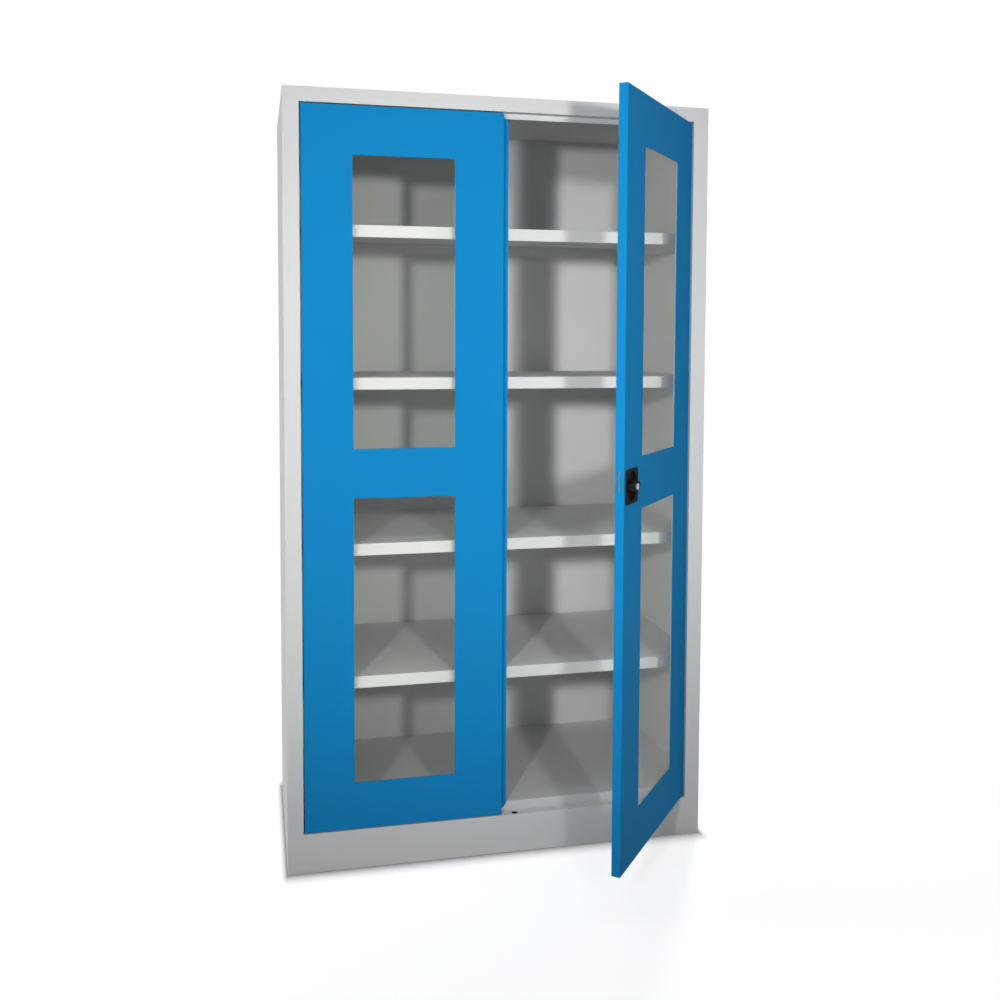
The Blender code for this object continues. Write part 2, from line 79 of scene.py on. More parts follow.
# %% Camera
CAMERA_SPOT = Vector((-0.6178, -2.665, 1.3435))
YAW, PITCH, ROLL = (math.radians(angle) for angle in (12.924, -3.285, 0.217))
ahead = Vector((math.sin(YAW) * math.cos(PITCH), math.cos(YAW) * math.cos(PITCH), math.sin(PITCH)))
level = Vector((math.cos(YAW), -math.sin(YAW), 0))
upright = level.cross(ahead)
right = level * math.cos(ROLL) + upright * math.sin(ROLL)
up = upright * math.cos(ROLL) - level * math.sin(ROLL)

LENS_MM, SENSOR_MM, LENS_DROP = 38.41, 36.0, -0.10
lens = bpy.data.cameras.new("photo_lens")
lens.lens, lens.sensor_width, lens.shift_y = LENS_MM, SENSOR_MM, LENS_DROP
camera = bpy.data.objects.new("photo_camera", lens)
bpy.context.scene.collection.objects.link(camera)
camera.matrix_world = Matrix.Translation(CAMERA_SPOT) @ Matrix((right, up, -ahead)).transposed().to_4x4()
bpy.context.scene.camera = camera
bpy.context.scene.view_settings.view_transform = "Standard"
print("camera at", [round(x, 3) for x in camera.location], "lens", lens.lens, "mm")

# %% [markdown]
# A finish is a small graph of shader nodes. Each one starts the same way: a Principled BSDF, and
# texture coordinates taken from the object itself, so that the pattern rides along when a door
# swings. The helpers below make that start, set a node's sockets by name, and add a noise whose
# grain is given in metres.

# %% Start of a finish
def start_finish(name):
    finish = bpy.data.materials.new(name)
    finish.use_nodes = True
    tree = finish.node_tree
    place = tree.nodes.new("ShaderNodeTexCoord")
    return finish, tree, tree.nodes["Principled BSDF"], place.outputs["Object"]


def fill_in(node, values):
    """Set a node's sockets by name."""
    for socket, value in values.items():
        node.inputs[socket].default_value = value


def grain(tree, place, size, detail=2.0, stretch=None):
    """Noise whose blotches are about size metres across, on stretched coordinates if asked."""
    noise = tree.nodes.new("ShaderNodeTexNoise")
    fill_in(noise, {"Scale": 1.0 / size, "Detail": detail})
    if stretch:
        squeeze = tree.nodes.new("ShaderNodeMapping")
        fill_in(squeeze, {"Scale": stretch})
        tree.links.new(place, squeeze.inputs["Vector"])
        place = squeeze.outputs["Vector"]
    tree.links.new(place, noise.inputs["Vector"])
    return noise.outputs["Fac"]


print("a finish can be started and grained")

# %% [markdown]
# A noise does nothing until it drives something. Here it may choose between a darker and a paler
# colour, between two degrees of dullness, or become bumps of a real height. Most of a noise lies in
# the middle of its range, so only that part is spread over the two ends. The last helper mixes two
# whole shaders, which the panes, the surround and the floor need.

# %% What a pattern drives
NOISE_LOW, NOISE_HIGH = 0.3, 0.7


def colour_between(tree, shader, pattern, colour, dark, pale):
    """Base colour from dark times to pale times the given one."""
    ramp = tree.nodes.new("ShaderNodeValToRGB")
    for stop, position, by in zip(ramp.color_ramp.elements, (NOISE_LOW, NOISE_HIGH), (dark, pale)):
        stop.position = position
        stop.color = (*(channel * by for channel in colour), 1)
    tree.links.new(pattern, ramp.inputs["Fac"])
    tree.links.new(ramp.outputs["Color"], shader.inputs["Base Color"])


def dull_between(tree, shader, pattern, low, high):
    """Roughness from low to high."""
    span = tree.nodes.new("ShaderNodeMapRange")
    fill_in(span, {"From Min": NOISE_LOW, "From Max": NOISE_HIGH, "To Min": low, "To Max": high})
    tree.links.new(pattern, span.inputs["Value"])
    tree.links.new(span.outputs["Result"], shader.inputs["Roughness"])


def relief(tree, shader, pattern, depth):
    """Bump of a real depth in metres."""
    bump = tree.nodes.new("ShaderNodeBump")
    fill_in(bump, {"Distance": depth, "Strength": 1.0})
    tree.links.new(pattern, bump.inputs["Height"])
    tree.links.new(bump.outputs["Normal"], shader.inputs["Normal"])
    return bump.outputs["Normal"]


def choose(tree, value, first, second):
    """The first shader where value is 0, the second where it is 1, and a mix between."""
    either = tree.nodes.new("ShaderNodeMixShader")
    tree.links.new(value, either.inputs["Fac"])
    tree.links.new(first, either.inputs[1])
    tree.links.new(second, either.inputs[2])
    return either.outputs["Shader"]


print("patterns use", NOISE_LOW, "to", NOISE_HIGH)

# %% [markdown]
# The steel is powder coated. Powder melts into a skin with a very fine orange peel, about a
# millimetre from crest to crest and only a few hundredths deep, and its colour drifts a little over
# a panel. The plain specular of a Principled BSDF turns any paint into a mirror at a flat angle, and
# the open door is seen at just such an angle. So that specular is off, and a coat layer of small
# weight takes its place: it has the same soft sheen from the front but stays weak to the side.

# %% Powder coat, grey and blue
DRIFT_SIZE, GLOSS_SIZE, PEEL_SIZE, PEEL_DEPTH = 0.35, 0.06, 1.2 * MM, 0.03 * MM
COLOUR_DRIFT, GLOSS_DRIFT = 0.03, 0.04


def soft_sheen(tree, shader, normal_from, weight, dull):
    """A weak coat instead of the base's own mirror; it follows the same relief."""
    fill_in(shader, {"Specular IOR Level": 0.0, "Coat Weight": weight, "Coat Roughness": dull})
    tree.links.new(normal_from, shader.inputs["Coat Normal"])


def powder_coat(name, colour, dull, sheen):
    finish, tree, shader, place = start_finish(name)
    drift = grain(tree, place, DRIFT_SIZE, detail=3.0)
    colour_between(tree, shader, drift, colour, 1 - COLOUR_DRIFT, 1 + COLOUR_DRIFT)
    gloss = grain(tree, place, GLOSS_SIZE, detail=4.0)
    dull_between(tree, shader, gloss, dull - GLOSS_DRIFT, dull + GLOSS_DRIFT)
    peel = relief(tree, shader, grain(tree, place, PEEL_SIZE), PEEL_DEPTH)
    soft_sheen(tree, shader, peel, sheen, dull)
    return finish


GREY = (0.68, 0.685, 0.68)
BLUE = (0.008, 0.236, 0.54)
grey_coat = powder_coat("grey_powder_coat", GREY, dull=0.46, sheen=0.14)
blue_coat = powder_coat("blue_powder_coat", BLUE, dull=0.40, sheen=0.10)
print("coats", grey_coat.name, blue_coat.name)

# %% [markdown]
# The windows are clear acrylic sheet, which shows as a slightly dimmer, greyer view of what lies
# behind. Glass with real refraction would cast a black shadow in a path tracer, because lamp rays
# can't bend their way through it. So shadow rays are let straight through with the same tint, and
# all other rays meet a Principled glass. Its index is set far below that of acrylic: the surround
# here is bright white, and the true index would turn the open door's panes into mirrors, which the
# real ones in a dim room are not. A faint wide ripple keeps the reflections from being dead.

# %% Clear pane
PANE_TINT = (0.90, 0.91, 0.885, 1)
PANE_INDEX = 1.08
SMEAR_SIZE, SMEAR_DULL = 0.09, 0.025
RIPPLE_SIZE, RIPPLE_DEPTH = 0.22, 0.02 * MM
clear_acrylic, tree, shader, place = start_finish("clear_acrylic")
fill_in(shader, {"Base Color": PANE_TINT, "Transmission Weight": 1.0, "IOR": PANE_INDEX})
dull_between(tree, shader, grain(tree, place, SMEAR_SIZE, detail=5.0), 0.0, SMEAR_DULL)
relief(tree, shader, grain(tree, place, RIPPLE_SIZE, detail=0.0), RIPPLE_DEPTH)
path = tree.nodes.new("ShaderNodeLightPath")
clear = tree.nodes.new("ShaderNodeBsdfTransparent")
fill_in(clear, {"Color": PANE_TINT})
either = choose(tree, path.outputs["Is Shadow Ray"], shader.outputs["BSDF"], clear.outputs["BSDF"])
tree.links.new(either, tree.nodes["Material Output"].inputs["Surface"])
print("pane tint", PANE_TINT[:3])

# %% [markdown]
# The small hardware has three finishes. Zinc plate is a dull metal with crystal spangle, for which
# a Voronoi pattern is the natural choice. The nickel key plug is brushed, and a noise squeezed in
# height gives its fine level lines. The black lock body, the rod guides and the hinge bushes are
# moulded, with a fine spark texture and the same weak coat as the paint.

# %% Zinc, nickel and black plastic
ZINC, NICKEL, BLACK = (0.43, 0.435, 0.44), (0.62, 0.61, 0.58), (0.011, 0.011, 0.012)
METAL_DARK, METAL_PALE = 0.88, 1.06
BLACK_DARK, BLACK_PALE = 0.85, 1.15


def metal(name, colour, size, depth, stretch=None):
    finish, tree, shader, place = start_finish(name)
    fill_in(shader, {"Metallic": 1.0})
    marks = grain(tree, place, size, detail=4.0, stretch=stretch)
    colour_between(tree, shader, marks, colour, METAL_DARK, METAL_PALE)
    relief(tree, shader, marks, depth)
    return finish, tree, shader, place, marks


SPANGLE_SIZE = 6 * MM
zinc_plate, tree, shader, place, _ = metal("zinc_plate", ZINC, 9 * MM, 0.01 * MM)
spangle = tree.nodes.new("ShaderNodeTexVoronoi")
fill_in(spangle, {"Scale": 1 / SPANGLE_SIZE})
tree.links.new(place, spangle.inputs["Vector"])
dull_between(tree, shader, spangle.outputs["Distance"], 0.38, 0.58)

BRUSHED = (1, 1, 8)
nickel_plate, tree, shader, _, lines = metal("nickel_plate", NICKEL, 3 * MM, 0.005 * MM, BRUSHED)
dull_between(tree, shader, lines, 0.21, 0.37)

SPARK_SIZE, SPARK_DEPTH, CLOUD_SIZE = 0.5 * MM, 0.02 * MM, 12 * MM
black_moulding, tree, shader, place = start_finish("black_moulding")
spark = grain(tree, place, SPARK_SIZE, detail=3.0)
cloud = grain(tree, place, CLOUD_SIZE)
colour_between(tree, shader, cloud, BLACK, BLACK_DARK, BLACK_PALE)
dull_between(tree, shader, cloud, 0.34, 0.46)
soft_sheen(tree, shader, relief(tree, shader, spark, SPARK_DEPTH), weight=0.12, dull=0.40)
print("hardware finishes", [finish.name for finish in (zinc_plate, nickel_plate, black_moulding)])

# %% [markdown]
# Nearly every large piece is one sheet of steel, bent on a press. A press can't make a knife edge:
# the outside of a fold has a radius of a millimetre or two, and that is where sheet metal catches
# the light. A Bevel modifier on the solid would round cut edges and folds alike, and the sheet is
# too thin for that. So a copy of the solid is cleaned, its folds are picked out by looking for long
# edges between two wide faces, and only those are rounded: outside by the radius, inside by the
# radius less the sheet, so that the sheet keeps its thickness round the bend.

# %% Finding the folds
SHEET = 1.0 * MM
SHORTEST_FOLD, FOLD_ANGLE = 8 * MM, math.radians(60)
WIDE_FACE = 1.6 * SHEET


def face_width(face):
    return 2 * face.calc_area() / face.calc_perimeter()


def find_folds(bm, outside):
    return [edge for edge in bm.edges
            if edge.is_manifold and edge.is_convex == outside
            and edge.calc_face_angle() > FOLD_ANGLE
            and edge.calc_length() > SHORTEST_FOLD
            and min(face_width(face) for face in edge.link_faces) > WIDE_FACE]


print("folds are longer than", SHORTEST_FOLD / MM, "mm, between faces wider than", WIDE_FACE / MM, "mm")

# %% [markdown]
# Every new piece needs the same few things: its finish, the body it rides on and the node it stands in for.
# Its shading is smooth, except across edges sharper than a given angle, and a Weighted Normal modifier keeps
# the flat faces looking flat.

# %% Dressing a piece
SHARP_DEGREES = 40


def show_as(piece, finish, slot, body, *stands_for):
    """Dress a new piece: its finish, the body it rides on and the nodes it hides. The record's slot is not
    used.
    """
    piece.data.materials.clear()
    piece.data.materials.append(finish)
    bpy.context.scene.collection.objects.link(piece)
    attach(piece, body)
    if stands_for:
        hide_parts(*stands_for)
    return piece


def soften(piece, degrees=SHARP_DEGREES):
    piece.data.shade_smooth()
    piece.data.set_sharp_from_angle(angle=math.radians(degrees))
    weigh = piece.modifiers.new("flat faces stay flat", "WEIGHTED_NORMAL")
    weigh.keep_sharp = True


print("edges stay sharp over", SHARP_DEGREES, "degrees")

# %% [markdown]
# A sheet is folded on a copy of its solid. The loose faces of the import are joined at their points,
# triangles in one plane are merged again, and then the outer and the inner folds are bevelled.

# %% Folding a sheet
FOLD_RADIUS, FOLD_STEPS = 1.6 * MM, 4
SAME_POINT, SAME_PLANE = 0.005 * MM, math.radians(0.5)


def fold_sheet(node, finish, slot, body):
    bm = bmesh.new()
    bm.from_mesh(nodes[node].data)
    bmesh.ops.remove_doubles(bm, verts=bm.verts[:], dist=SAME_POINT)
    bmesh.ops.dissolve_limit(bm, angle_limit=SAME_PLANE, verts=bm.verts[:], edges=bm.edges[:])
    count = 0
    for outside, radius in ((True, FOLD_RADIUS), (False, FOLD_RADIUS - SHEET)):
        folds = find_folds(bm, outside)
        count += len(folds)
        bmesh.ops.bevel(bm, geom=folds, offset=radius, segments=FOLD_STEPS, profile=0.5, affect="EDGES")
    mesh = bpy.data.meshes.new(node + "_sheet")
    bm.to_mesh(mesh)
    bm.free()
    piece = bpy.data.objects.new(node + "_sheet", mesh)
    soften(piece)
    print(f"{node}: {count} folds, {len(mesh.polygons)} faces")
    return show_as(piece, finish, slot, body, node)


print("outer radius", FOLD_RADIUS / MM, "mm in", FOLD_STEPS, "steps")

# %% [markdown]
# The body of the cabinet is twelve such sheets: two sides that turn round into the front stiles,
# the slotted posts behind, the top, the floor, the rail over the doors, the plinth under them and
# the four shelves. The back is flat sheet and needs no fold.

# %% Body sheets
GREY_SHEETS = ["left_side_panel", "right_side_panel", "left_rear_post", "right_rear_post", "top_panel",
               "floor_panel", "top_rail", "plinth"] + [f"shelf_{number}" for number in range(1, 5)]
for node in GREY_SHEETS:
    fold_sheet(node, grey_coat, "light_grey_paint", "carcass")

# %% [markdown]
# Each door is a shallow tray of the same sheet, open to the inside, with two windows cut out of its
# face. It is folded the same way and painted blue.

# %% Door sheets
for side in ("left", "right"):
    fold_sheet(f"{side}_door_leaf", blue_coat, "sky_blue_paint", f"{side}_door")

# %% [markdown]
# Pieces whose solid already has the right shape stay as they are: the panes and the rebated frames
# that hold them, the closing strip, pins, bushes, clips, rods and the lock's works. Imported solids
# come with every face cut loose from its neighbours, so a Weld modifier joins them first, and a
# Bevel of a few tenths of a millimetre then breaks their edges as tumbling or polishing would.

# %% Solids that stay
WELD_REACH, EDGE_STEPS = 0.01 * MM, 2


def keep_solid(node, finish, edge):
    piece = nodes[node]
    piece.data.materials.clear()
    piece.data.materials.append(finish)
    if "custom_normal" in piece.data.attributes:
        piece.data.attributes.remove(piece.data.attributes["custom_normal"])
    piece.data.shade_smooth()
    weld = piece.modifiers.new("join faces", "WELD")
    weld.merge_threshold = WELD_REACH
    round_off = piece.modifiers.new("broken edges", "BEVEL")
    round_off.width, round_off.segments = edge, EDGE_STEPS
    round_off.limit_method, round_off.angle_limit = "ANGLE", math.radians(SHARP_DEGREES)
    round_off.harden_normals = True


def nodes_like(*endings):
    return [node for node in nodes if node.endswith(endings)]


kept = {
    "grey": [(grey_coat, 0.3 * MM), ["back_panel"] + nodes_like("_pane_frame")],
    "blue": [(blue_coat, 0.4 * MM), ["left_closing_strip"]],
    "clear": [(clear_acrylic, 0.2 * MM), nodes_like("_pane")],
    "zinc": [(zinc_plate, 0.25 * MM), nodes_like("_front", "_rear", "_pin", "_rod", "_cam", "_case")],
    "black": [(black_moulding, 0.2 * MM), nodes_like("_rod_guide", "_bush")],
}
for group, ((finish, edge), names) in kept.items():
    for node in names:
        keep_solid(node, finish, edge)
    print(group, len(names), "solids")

# %% [markdown]
# The lock, the screws and the rivets are round or nearly round things with hollows in their faces.
# They could be cut with Booleans, but those leave ragged faces that don't bevel well. All of them
# can instead be drawn as a stack of rings: closed outlines, each at its own depth, joined by bands
# of quads. An outline is given as a distance from the centre for every direction, so a circle, a
# rounded square, a bar and a cross all have the same number of points and join without trouble.

# %% Outlines
TINY = 1e-9


def circle(radius):
    return lambda angle: radius


def rounded_bar(half_wide, half_high, corner):
    """Distance from the middle of a rounded rectangle to its edge."""
    def reach(angle):
        c, s = abs(math.cos(angle)), abs(math.sin(angle))
        flat = min(half_wide / max(c, TINY), half_high / max(s, TINY))
        cx, cz = half_wide - corner, half_high - corner
        if flat * c <= cx or flat * s <= cz:
            return flat
        along = cx * c + cz * s
        return along + math.sqrt(max(along ** 2 - cx ** 2 - cz ** 2 + corner ** 2, 0))
    return reach


def merged(first, second, sharpness):
    """Two outlines melted into one; the higher the sharpness, the tighter the inner corners."""
    return lambda angle: (first(angle) ** sharpness + second(angle) ** sharpness) ** (1 / sharpness)


def grown(outline, by):
    return lambda angle: outline(angle) + by


print("a 2 x 1 bar reaches", round(rounded_bar(1.0, 0.5, 0.1)(math.radians(45)), 3), "at 45 degrees")

# %% [markdown]
# The mesh is built with bmesh, Blender's toolkit for making meshes point by point: one loop of
# points for each outline, quads between neighbouring loops, and a cap on each end unless the stack
# closes on itself. Many equal things, such as a row of screws, go into one piece.

# %% Stacked rings
RING_SHARP_DEGREES = 50


def add_rings(bm, rings, place, points, closed):
    """Bands between (outline, depth) rings; depth runs along the place's Y. Ends are capped unless closed."""
    loops = []
    for outline, depth in rings:
        loop = []
        for step in range(points):
            angle = 2 * math.pi * step / points
            reach = outline(angle)
            spot = Vector((reach * math.cos(angle), depth, reach * math.sin(angle)))
            loop.append(bm.verts.new(place @ spot))
        loops.append(loop)
    pairs = list(zip(loops, loops[1:])) + ([(loops[-1], loops[0])] if closed else [])
    for near, far in pairs:
        for k in range(points):
            bm.faces.new((near[k], near[k - 1], far[k - 1], far[k]))
    if not closed:
        bm.faces.new(loops[0])
        bm.faces.new(loops[-1])


def ring_piece(name, stacks, points, finish, slot, body, *stands_for):
    bm = bmesh.new()
    for rings, place, closed in stacks:
        add_rings(bm, rings, place, points, closed)
    bmesh.ops.recalc_face_normals(bm, faces=bm.faces[:])
    mesh = bpy.data.meshes.new(name)
    bm.to_mesh(mesh)
    bm.free()
    piece = bpy.data.objects.new(name, mesh)
    soften(piece, RING_SHARP_DEGREES)
    print(f"{name}: {len(stacks)} made, {len(mesh.polygons)} faces")
    return show_as(piece, finish, slot, body, *stands_for)


print("ring edges stay sharp over", RING_SHARP_DEGREES, "degrees")

# %% [markdown]
# The lock sits in the right door. Its frame comes from the joint that turns the grip: the joint's
# place is the lock's middle on the door's face, and its axis points straight out of that face.
# In the lock's own frame X runs along the door, Y goes into it and Z is up.

# %% Lock frame
joints = {joint["name"]: joint for joint in frame["joints"]}
OPEN_ANGLE = math.radians(-joints["right_door_swing"]["range_deg"][0])
turned_open = Matrix.Rotation(OPEN_ANGLE, 4, "Z")
lock_frame = Matrix.Translation(joints["grip_turn"]["pos_m"]) @ turned_open
plate_low, plate_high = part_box("lock_plate")
PLATE_HALF = (plate_high.z - plate_low.z) / 2
print("lock plate", round(2 * PLATE_HALF / MM, 1), "mm, door open", round(math.degrees(OPEN_ANGLE), 1))

# %% [markdown]
# The lock plate is black moulded plastic: a rounded square with a soft shoulder, a raised rim, and
# a round dish sunk behind it where two fingers reach the grip. Going from the shoulder's foot over
# the rim and down to the dish's floor, then back up its outer wall, gives one closed skin.

# %% Lock plate
PLATE_GAP, PLATE_THICK, PLATE_CORNER = 0.3 * MM, 3.0 * MM, 9 * MM
DISH_RADIUS, DISH_WALL, DISH_DEPTH, DISH_FLOOR = 35 * MM, 2 * MM, 6.5 * MM, 2 * MM
SPINDLE_BORE = 3.9 * MM
LOCK_POINTS = 96
plate_face = -PLATE_GAP - PLATE_THICK


def plate_outline(inset):
    return rounded_bar(PLATE_HALF - inset, PLATE_HALF - inset, PLATE_CORNER - inset)


plate_rings = [
    (plate_outline(0), -PLATE_GAP),
    (plate_outline(0), -PLATE_GAP - 0.8 * MM),
    (plate_outline(0.25 * MM), plate_face + 1.0 * MM),
    (plate_outline(0.9 * MM), plate_face + 0.25 * MM),
    (plate_outline(1.8 * MM), plate_face),
    (plate_outline(3.6 * MM), plate_face),
    (circle(DISH_RADIUS + 1.0 * MM), plate_face + 0.6 * MM),
    (circle(DISH_RADIUS + 0.3 * MM), plate_face + 1.0 * MM),
    (circle(DISH_RADIUS), plate_face + 1.9 * MM),
    (circle(DISH_RADIUS - 0.2 * MM), DISH_DEPTH - 2.2 * MM),
    (circle(DISH_RADIUS - 0.9 * MM), DISH_DEPTH - 0.7 * MM),
    (circle(DISH_RADIUS - 2.4 * MM), DISH_DEPTH),
    (circle(SPINDLE_BORE), DISH_DEPTH),
    (circle(SPINDLE_BORE), DISH_DEPTH + DISH_FLOOR),
    (circle(DISH_RADIUS + DISH_WALL), DISH_DEPTH + DISH_FLOOR),
    (circle(DISH_RADIUS + DISH_WALL), -PLATE_GAP),
]
ring_piece("lock_plate_moulding", [(plate_rings, lock_frame, True)], LOCK_POINTS, black_moulding,
           "black_plastic", "right_door", "lock_plate")

# %% [markdown]
# The grip is a bar across a round boss, pinched between finger and thumb and turned a quarter
# turn. It narrows slightly towards the front, as a moulding must to leave its tool, and its front
# edge is well rounded. The bore in the middle takes the key plug. The spindle behind it goes
# through the dish, so grip and spindle are one piece here as they are on the real lock.

# %% Grip
GRIP_PROUD, GRIP_BACK = 13 * MM, 5.8 * MM
GRIP_HALF_LONG, GRIP_HALF_WIDE, BOSS_RADIUS = 32 * MM, 10 * MM, 14.5 * MM
PLUG_RADIUS, TURN_GAP, PLUG_DEEP = 7.5 * MM, 0.4 * MM, 1.8 * MM
SPINDLE_RADIUS, SPINDLE_TIP = 3.5 * MM, 19.8 * MM
GRIP_CORNER, GRIP_MELT = 7 * MM, 14


def grip_outline(inset):
    bar = rounded_bar(GRIP_HALF_LONG - inset, GRIP_HALF_WIDE - inset, GRIP_CORNER)
    return merged(bar, circle(BOSS_RADIUS - inset), GRIP_MELT)


grip_rings = [
    (circle(SPINDLE_RADIUS - 0.3 * MM), SPINDLE_TIP),
    (circle(SPINDLE_RADIUS), SPINDLE_TIP - 0.3 * MM),
    (circle(SPINDLE_RADIUS), GRIP_BACK),
    (grip_outline(0.6 * MM), GRIP_BACK),
    (grip_outline(0), GRIP_BACK - 0.6 * MM),
    (grip_outline(0.7 * MM), -GRIP_PROUD + 3.5 * MM),
    (grip_outline(1.1 * MM), -GRIP_PROUD + 1.8 * MM),
    (grip_outline(2.0 * MM), -GRIP_PROUD + 0.6 * MM),
    (grip_outline(3.4 * MM), -GRIP_PROUD),
    (circle(PLUG_RADIUS + 1.6 * MM), -GRIP_PROUD),
    (circle(PLUG_RADIUS + 0.8 * MM), -GRIP_PROUD + 0.3 * MM),
    (circle(PLUG_RADIUS + TURN_GAP), -GRIP_PROUD + 0.5 * MM),
    (circle(PLUG_RADIUS + TURN_GAP), PLUG_DEEP),
]
ring_piece("rotary_grip", [(grip_rings, lock_frame, False)], LOCK_POINTS, black_moulding,
           "black_plastic", "lock_grip", "lock_handle")

# %% [markdown]
# The key plug is a turned nickel cylinder that stands a little proud of the grip. Its face has a
# chamfered rim, then a groove, and a core that lies a little lower with the upright keyway in it.
# Flat floors in the groove and the keyway would mirror the white surround back at the viewer. Both
# narrow to a line instead, so light is lost between their walls, as it is among the pins of a real
# lock. Seen from some distance, this makes the plug a pale ring with a darker middle.

# %% Key plug
PLUG_PROUD, PLUG_POINTS = 4.0 * MM, 64
PLUG_FRONT = -GRIP_PROUD - PLUG_PROUD
CORE_RADIUS, CORE_SUNK = 4.5 * MM, 0.9 * MM
GROOVE_WIDE, GROOVE_DEEP, KEYWAY_DEEP = 1.1 * MM, 5.0 * MM, 7.0 * MM
keyway = rounded_bar(1.2 * MM, 3.7 * MM, 0.5 * MM)
keyway_floor = rounded_bar(0.1 * MM, 2.6 * MM, 0.05 * MM)
plug_rings = [
    (circle(PLUG_RADIUS - 0.3 * MM), PLUG_DEEP - 0.4 * MM),
    (circle(PLUG_RADIUS), PLUG_DEEP - 0.7 * MM),
    (circle(PLUG_RADIUS), PLUG_FRONT + 0.5 * MM),
    (circle(PLUG_RADIUS - 0.5 * MM), PLUG_FRONT),
    (circle(CORE_RADIUS + GROOVE_WIDE + 0.3 * MM), PLUG_FRONT),
    (circle(CORE_RADIUS + GROOVE_WIDE), PLUG_FRONT + 0.3 * MM),
    (circle(CORE_RADIUS + GROOVE_WIDE / 2), PLUG_FRONT + GROOVE_DEEP),
    (circle(CORE_RADIUS), PLUG_FRONT + CORE_SUNK + 0.2 * MM),
    (circle(CORE_RADIUS - 0.2 * MM), PLUG_FRONT + CORE_SUNK),
    (grown(keyway, 0.25 * MM), PLUG_FRONT + CORE_SUNK),
    (keyway, PLUG_FRONT + CORE_SUNK + 0.25 * MM),
    (keyway_floor, PLUG_FRONT + KEYWAY_DEEP),
]
ring_piece("key_plug_turned", [(plug_rings, lock_frame, False)], PLUG_POINTS, nickel_plate,
           "nickel", "key_plug", "lock_plug")

# %% [markdown]
# On the inside of each door, pan-head screws hold the window frames to the back of the leaf's face.
# The left door is shut, so its pieces' boxes give their places straight away, and the right door's
# screws are the mirror image of that, turned open about its own hinge. One helper gives the place
# of anything on either door: so far along from the hinge edge, so deep from the face, so high.

# %% Places on the doors
leaf_low, leaf_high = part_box("left_door_leaf")
frame_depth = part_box("left_lower_pane_frame")[1].y - leaf_low.y
LEAF_WIDTH = leaf_high.x - leaf_low.x
left_hinge, right_hinge = (Vector(joints[f"{side}_door_swing"]["pos_m"]) for side in ("left", "right"))


def on_door(side, along, depth, height):
    spot = Vector((leaf_low.x + along, leaf_low.y + depth, height)) - left_hinge
    if side == "left":
        return Matrix.Translation(left_hinge + spot)
    spot.x = -spot.x
    return Matrix.Translation(right_hinge) @ turned_open @ Matrix.Translation(spot)


print("leaf", round(LEAF_WIDTH / MM, 1), "mm wide, frame back at", round(frame_depth / MM, 1), "mm deep")

# %% [markdown]
# A pan head is a low dome with a cross recess. Stacked rings do both: the dome's circles shrink
# towards the top, and the last outlines are a cross that goes down again to a floor.

# %% Screws in the window frames
SCREW_EDGE = 6.5 * MM
SCREWS_UP, SCREWS_ACROSS, SCREW_POINTS = 5, 3, 32
CROSS_LONG, CROSS_WIDE, CROSS_CORNER, CROSS_MELT = 1.9 * MM, 0.42 * MM, 0.2 * MM, 24
cross = merged(rounded_bar(CROSS_LONG, CROSS_WIDE, CROSS_CORNER),
               rounded_bar(CROSS_WIDE, CROSS_LONG, CROSS_CORNER), CROSS_MELT)
screw_rings = [
    (circle(3.4 * MM), -0.2 * MM),
    (circle(3.5 * MM), 0.4 * MM),
    (circle(3.25 * MM), 0.95 * MM),
    (circle(2.7 * MM), 1.3 * MM),
    (grown(cross, 0.15 * MM), 1.45 * MM),
    (cross, 1.35 * MM),
    (cross, 0.5 * MM),
]


def spread(low, high, count):
    return [low + (high - low) * step / (count - 1) for step in range(count)]


for side in ("left", "right"):
    spots = []
    for place in ("lower", "upper"):
        low, high = (corner - leaf_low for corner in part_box(f"left_{place}_pane_frame"))
        start, end = low.x + SCREW_EDGE, high.x - SCREW_EDGE
        bottom, top = (level + leaf_low.z for level in (low.z + SCREW_EDGE, high.z - SCREW_EDGE))
        spots += [(along, height) for along in (start, end) for height in spread(bottom, top, SCREWS_UP)]
        between = spread(start, end, SCREWS_ACROSS)[1:-1]
        spots += [(along, height) for along in between for height in (bottom, top)]
    stacks = [(screw_rings, on_door(side, along, frame_depth, height), False) for along, height in spots]
    ring_piece(f"{side}_frame_screws", stacks, SCREW_POINTS, zinc_plate, "zinc_steel", f"{side}_door")

# %% [markdown]
# The closing strip covers the gap between the doors from behind. It is held to the left leaf by a
# row of pop rivets, each a flat dome with the small hollow that its mandrel leaves.

# %% Rivets on the closing strip
RIVETS, RIVET_POINTS = 9, 24
RIVET_EDGE, RIVET_END = 12 * MM, 60 * MM
strip_low, strip_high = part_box("left_closing_strip")
strip_back = strip_high.y - leaf_low.y
rivet_rings = [
    (circle(3.1 * MM), -0.2 * MM),
    (circle(3.2 * MM), 0.15 * MM),
    (circle(2.7 * MM), 0.5 * MM),
    (circle(1.9 * MM), 0.75 * MM),
    (circle(1.2 * MM), 0.8 * MM),
    (circle(0.9 * MM), 0.35 * MM),
]
heights = spread(strip_low.z + RIVET_END, strip_high.z - RIVET_END, RIVETS)
stacks = [(rivet_rings, on_door("left", LEAF_WIDTH - RIVET_EDGE, strip_back, z), False) for z in heights]
ring_piece("closing_strip_rivets", stacks, RIVET_POINTS, blue_coat, "sky_blue_paint", "left_door")

# %% [markdown]
# The rail and the plinth are welded between the stiles and the seams are ground flush before
# painting, so that the front reads as one frame with no lines at its corners. The dressed seam is a
# flat bead over the joint: a lens-shaped section, a few hundredths proud, run along the joint.

